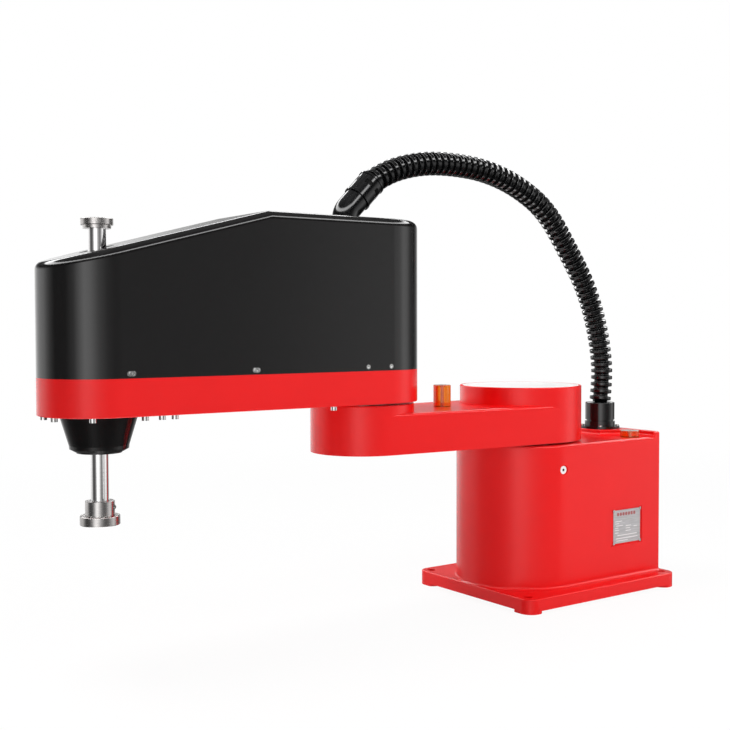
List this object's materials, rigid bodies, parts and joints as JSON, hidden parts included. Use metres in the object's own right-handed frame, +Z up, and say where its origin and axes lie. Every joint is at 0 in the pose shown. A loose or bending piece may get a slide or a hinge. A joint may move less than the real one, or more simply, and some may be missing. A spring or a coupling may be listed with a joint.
{
  "type": "scara robot arm",
  "caption": "SCARA robot arm: a bolted base, level swinging links, a tool shaft that rises and turns, and an arched cable hose over the arm.",
  "frame": {"origin": "centre of the base bolt holes, on the plane of the foot pads that the base stands on", "axes": "+X along the straight arm, from the base towards the tool shaft; +Z up, along every joint's axis; +Y to the arm's left"},
  "size_m": [1.1474, 0.3, 0.7757],
  "materials": {
    "red_casting": "satin",
    "black_cover": "gloss",
    "black_nylon": "satin",
    "hose_black": "satin",
    "amber_polyurethane": "gloss",
    "white_cap": "satin",
    "nameplate_silver": "satin",
    "plate_aluminium": "satin",
    "steel_screws": "polished",
    "machined_steel": "satin",
    "shaft_steel": "polished",
    "motor_casing": "satin",
    "belt_rubber": "matte",
    "fitting_brass": "satin"
  },
  "bodies": {
    "base": {"base_casting": "red_casting", "base_bottom_cover": "plate_aluminium", "base_bottom_screws": "steel_screws", "connector_panel": "plate_aluminium", "panel_screws": "steel_screws", "power_connector": "black_nylon", "encoder_connector": "black_nylon", "signal_connector": "black_nylon", "air_fittings": "fitting_brass", "nameplate": "nameplate_silver", "nameplate_pins": "steel_screws", "side_plug": "white_cap", "j1_stop_bumpers": "amber_polyurethane", "bumper_screws": "steel_screws", "j1_reducer": "machined_steel", "j1_reducer_screws": "steel_screws", "j1_motor": "motor_casing", "hose_gland": "black_nylon", "gland_locknut": "black_nylon", "gland_screws": "steel_screws"},
    "link_1": {"link_1_casting": "red_casting", "link_1_bottom_cover": "plate_aluminium", "j1_output_hub": "machined_steel", "j1_output_screws": "steel_screws", "j1_cap": "white_cap", "j2_stop_bumper": "amber_polyurethane", "j2_stop_screw": "steel_screws", "j2_output_hub": "machined_steel", "j2_output_screws": "steel_screws", "cable_hose": "hose_black"},
    "forearm": {"forearm_casting": "red_casting", "forearm_cover": "black_cover", "cover_screws": "steel_screws", "rim_bolts": "steel_screws", "j2_reducer": "machined_steel", "j2_reducer_screws": "steel_screws", "j2_motor": "motor_casing", "j3_bracket": "plate_aluminium", "j4_bracket": "plate_aluminium", "bracket_screws": "steel_screws", "j3_motor": "motor_casing", "j4_motor": "motor_casing", "j3_belt": "belt_rubber", "j4_belt": "belt_rubber", "spline_housing": "machined_steel", "spline_housing_screws": "steel_screws", "cone_skirt": "black_cover", "skirt_screws": "steel_screws", "elbow_fitting": "black_nylon", "elbow_screws": "steel_screws", "elbow_nut": "black_nylon"},
    "spline_nut": {"spline_nut": "machined_steel", "spline_pulley": "plate_aluminium"},
    "ball_nut": {"ball_nut": "machined_steel", "ball_nut_pulley": "plate_aluminium"},
    "j3_motor_shaft": {"j3_motor_pulley": "plate_aluminium"},
    "j4_motor_shaft": {"j4_motor_pulley": "plate_aluminium"},
    "tool_shaft": {"tool_shaft": "shaft_steel", "tool_flange": "machined_steel", "top_collar": "machined_steel"}
  },
  "joints": [
    {"name": "j1_swing", "type": "hinge", "parent": "base", "child": "link_1", "pos_m": [0.067, 0, 0.275], "axis": [0, 0, 1], "range_deg": [-120, 120], "deforming": ["cable_hose"]},
    {"name": "j2_swing", "type": "hinge", "parent": "link_1", "child": "forearm", "pos_m": [0.417, 0, 0.357], "axis": [0, 0, 1], "range_deg": [-132, 132], "deforming": ["cable_hose"]},
    {"name": "j4_turn", "type": "hinge", "parent": "forearm", "child": "spline_nut", "pos_m": [0.867, 0, 0.36], "axis": [0, 0, 1], "range_deg": [-360, 360]},
    {"name": "j3_stroke", "type": "slide", "parent": "spline_nut", "child": "tool_shaft", "axis": [0, 0, 1], "range_m": [-0.115, 0.065]},
    {"name": "ball_nut_spin", "type": "hinge", "parent": "spline_nut", "child": "ball_nut", "pos_m": [0.867, 0, 0.43], "axis": [0, 0, 1], "range_deg": [-2100, 1200]},
    {"name": "j3_motor_spin", "type": "hinge", "parent": "forearm", "child": "j3_motor_shaft", "pos_m": [0.759, 0, 0.415], "axis": [0, 0, 1], "range_deg": [-4030, 2290]},
    {"name": "j4_motor_spin", "type": "hinge", "parent": "forearm", "child": "j4_motor_shaft", "pos_m": [0.662, 0, 0.39], "axis": [0, 0, 1], "range_deg": [-860, 860]}
  ],
  "couplings": [
    {"joint": "ball_nut_spin", "follows": "j3_stroke", "rad_per_m": 314.16},
    {"joint": "j3_motor_spin", "follows": "j3_stroke", "rad_per_m": 608.68},
    {"joint": "j4_motor_spin", "follows": "j4_turn", "ratio": 2.375}
  ]
}
